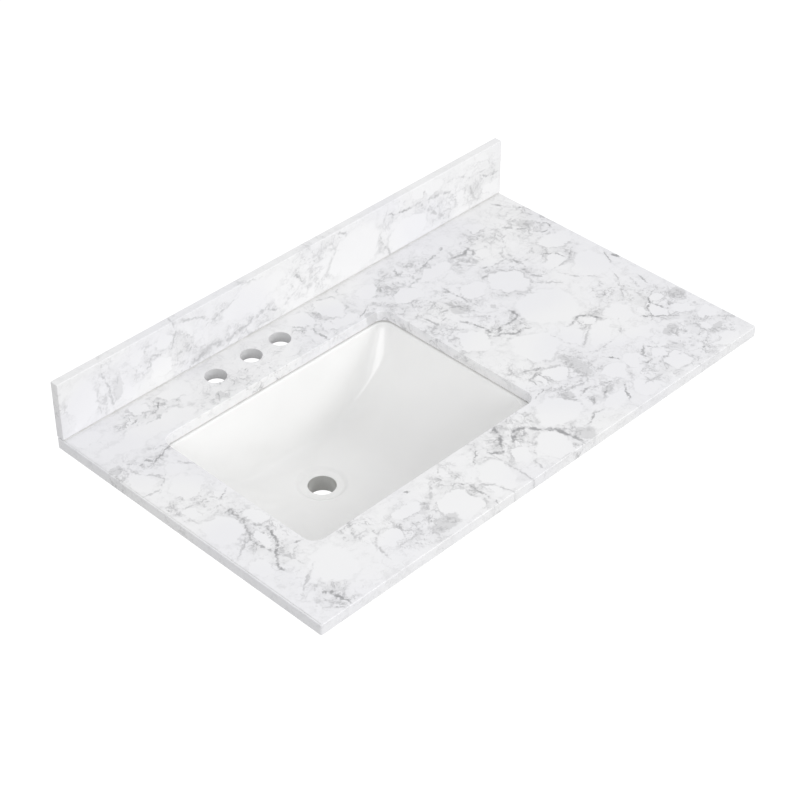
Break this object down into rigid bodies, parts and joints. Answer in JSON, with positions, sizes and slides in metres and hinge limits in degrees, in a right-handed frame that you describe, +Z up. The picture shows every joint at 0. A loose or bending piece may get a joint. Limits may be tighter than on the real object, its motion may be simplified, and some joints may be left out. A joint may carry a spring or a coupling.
{
  "type": "vanity sink top",
  "caption": "Offset vanity top: marble-look slab and backsplash over an undermounted rectangular china basin with faucet holes, drain hole and overflow.",
  "frame": {"origin": "on the slab's underside, at the middle of its length and 20 mm in from its rear edge, where the slab seats on the cabinet's back rail", "axes": "+X along the slab to the right as a user faces it, +Y to the wall behind the backsplash, +Z up"},
  "size_m": [0.9398, 0.5588, 0.3036],
  "materials": {
    "engineered_marble": "polished, white with soft grey veins",
    "vitreous_china": "clear glossy glaze over a white body",
    "silicone": "cured, slightly cloudy",
    "zinc_steel": "bright zinc plated",
    "brass": "turned, bare"
  },
  "bodies": {
    "root": {"countertop_slab": "engineered_marble", "backsplash": "engineered_marble", "backsplash_adhesive": "silicone", "basin": "vitreous_china", "basin_sealant": "silicone", "anchor_rear_left": "brass", "anchor_rear_right": "brass", "anchor_front_left": "brass", "anchor_front_right": "brass", "anchor_left_end": "brass", "anchor_right_end": "brass", "stud_rear_left": "zinc_steel", "stud_rear_right": "zinc_steel", "stud_front_left": "zinc_steel", "stud_front_right": "zinc_steel", "stud_left_end": "zinc_steel", "stud_right_end": "zinc_steel", "clip_rear_left": "zinc_steel", "clip_rear_right": "zinc_steel", "clip_front_left": "zinc_steel", "clip_front_right": "zinc_steel", "clip_left_end": "zinc_steel", "clip_right_end": "zinc_steel", "washer_rear_left": "zinc_steel", "washer_rear_right": "zinc_steel", "washer_front_left": "zinc_steel", "washer_front_right": "zinc_steel", "washer_left_end": "zinc_steel", "washer_right_end": "zinc_steel", "wing_nut_rear_left": "zinc_steel", "wing_nut_rear_right": "zinc_steel", "wing_nut_front_left": "zinc_steel", "wing_nut_front_right": "zinc_steel", "wing_nut_left_end": "zinc_steel", "wing_nut_right_end": "zinc_steel"}
  },
  "joints": []
}
